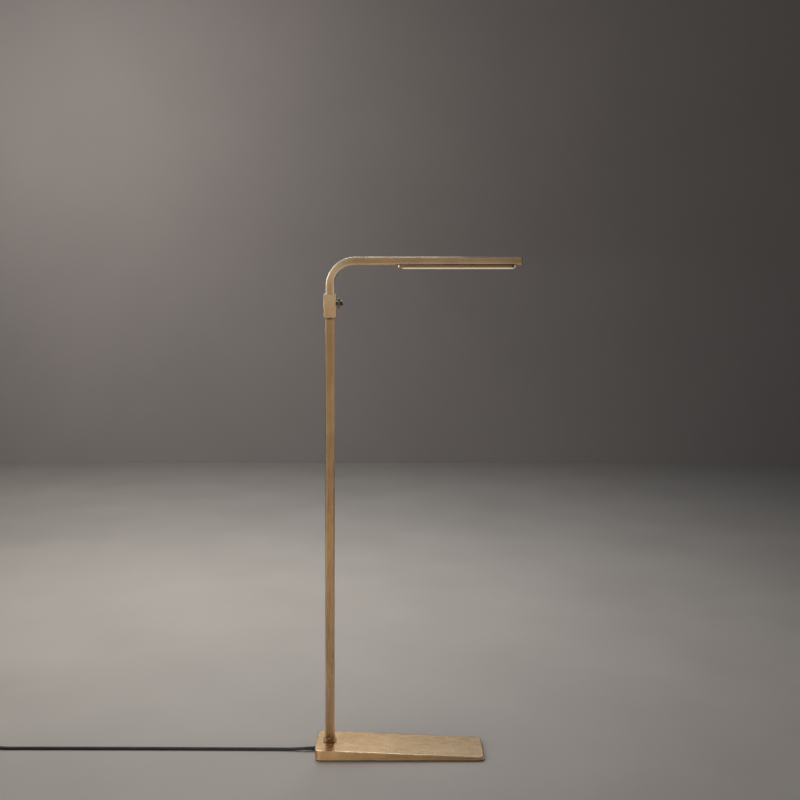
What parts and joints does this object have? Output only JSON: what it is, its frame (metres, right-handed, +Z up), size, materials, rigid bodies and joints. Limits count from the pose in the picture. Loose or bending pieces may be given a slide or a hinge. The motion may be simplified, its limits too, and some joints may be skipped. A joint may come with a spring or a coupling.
{
  "type": "floor lamp",
  "caption": "Slim floor lamp with a weighted wedge base, a square stem, and a bent square arm that slides up and down and carries a flat LED head.",
  "frame": {"origin": "on the floor, on the stem's axis", "axes": "+Z up, +X from the stem along the arm towards its tip, +Y to the back as seen from the front with the arm pointing right"},
  "size_m": [1.1619, 0.1248, 0.988],
  "materials": {
    "brass": "burnished and brushed along each member, satin, lightly aged",
    "bronze": "dark oil-rubbed bronze, satin",
    "steel": "zinc plated, satin",
    "pins": "bright",
    "iron": "black oxide, matt",
    "pad": "matt foam rubber",
    "cord_black": "smooth matt PVC",
    "black_plastic": "fine texture",
    "leads": "smooth matt",
    "nylon": "natural nylon",
    "tie": "woven hook-and-loop strap",
    "board": "white solder mask",
    "diffuser": "frosted opal acrylic"
  },
  "bodies": {
    "base": {"base_shell": "brass", "base_weight": "iron", "base_pad": "pad", "base_screw_1": "steel", "base_screw_2": "steel", "base_screw_3": "steel", "base_screw_4": "steel", "led_driver": "black_plastic", "strain_relief": "cord_black", "mains_lead": "leads", "stem_lead": "leads", "stem_tube": "brass", "stem_ferrule": "brass", "stem_anchor": "steel", "stem_bolt": "steel", "stem_washer": "steel", "coiled_lead": "leads", "collar": "brass", "collar_set_screw": "steel", "cord": "cord_black", "cord_coil": "cord_black", "cord_tail": "cord_black", "cord_tie": "tie", "plug_body": "cord_black", "plug_pin_1": "pins", "plug_pin_2": "pins"},
    "arm": {"arm_tube": "brass", "arm_bush": "nylon", "arm_lead": "leads", "switch_lead": "leads", "arm_end_cap": "bronze", "button_spring": "steel", "dimmer_switch": "black_plastic", "led_housing": "brass", "led_board": "board", "diffuser": "diffuser", "module_screw_1": "steel", "module_screw_2": "steel"},
    "clamp_pad": {"clamp_pad": "nylon"},
    "thumb_screw": {"thumb_screw": "bronze"},
    "dimmer_button": {"dimmer_button": "bronze"}
  },
  "joints": [
    {"name": "arm_height", "type": "slide", "parent": "base", "child": "arm", "axis": [0, 0, 1], "range_m": [0, 0.3], "deforming": ["coiled_lead"]},
    {"name": "clamp_travel", "type": "slide", "parent": "base", "child": "clamp_pad", "axis": [1, 0, 0], "range_m": [0, 0.0015]},
    {"name": "thumb_screw_turn", "type": "hinge", "parent": "clamp_pad", "child": "thumb_screw", "pos_m": [0.018, 0, 0.8954], "axis": [1, 0, 0], "range_deg": [0, 540]},
    {"name": "dimmer_press", "type": "slide", "parent": "arm", "child": "dimmer_button", "axis": [-1, 0, 0], "range_m": [0, 0.0015], "stiffness_N_per_m": 400, "springref_m": -0.0005, "deforming": ["button_spring"]}
  ],
  "couplings": [
    {"joint": "thumb_screw_turn", "follows": "clamp_travel", "rad_per_m": 6283.2}
  ]
}
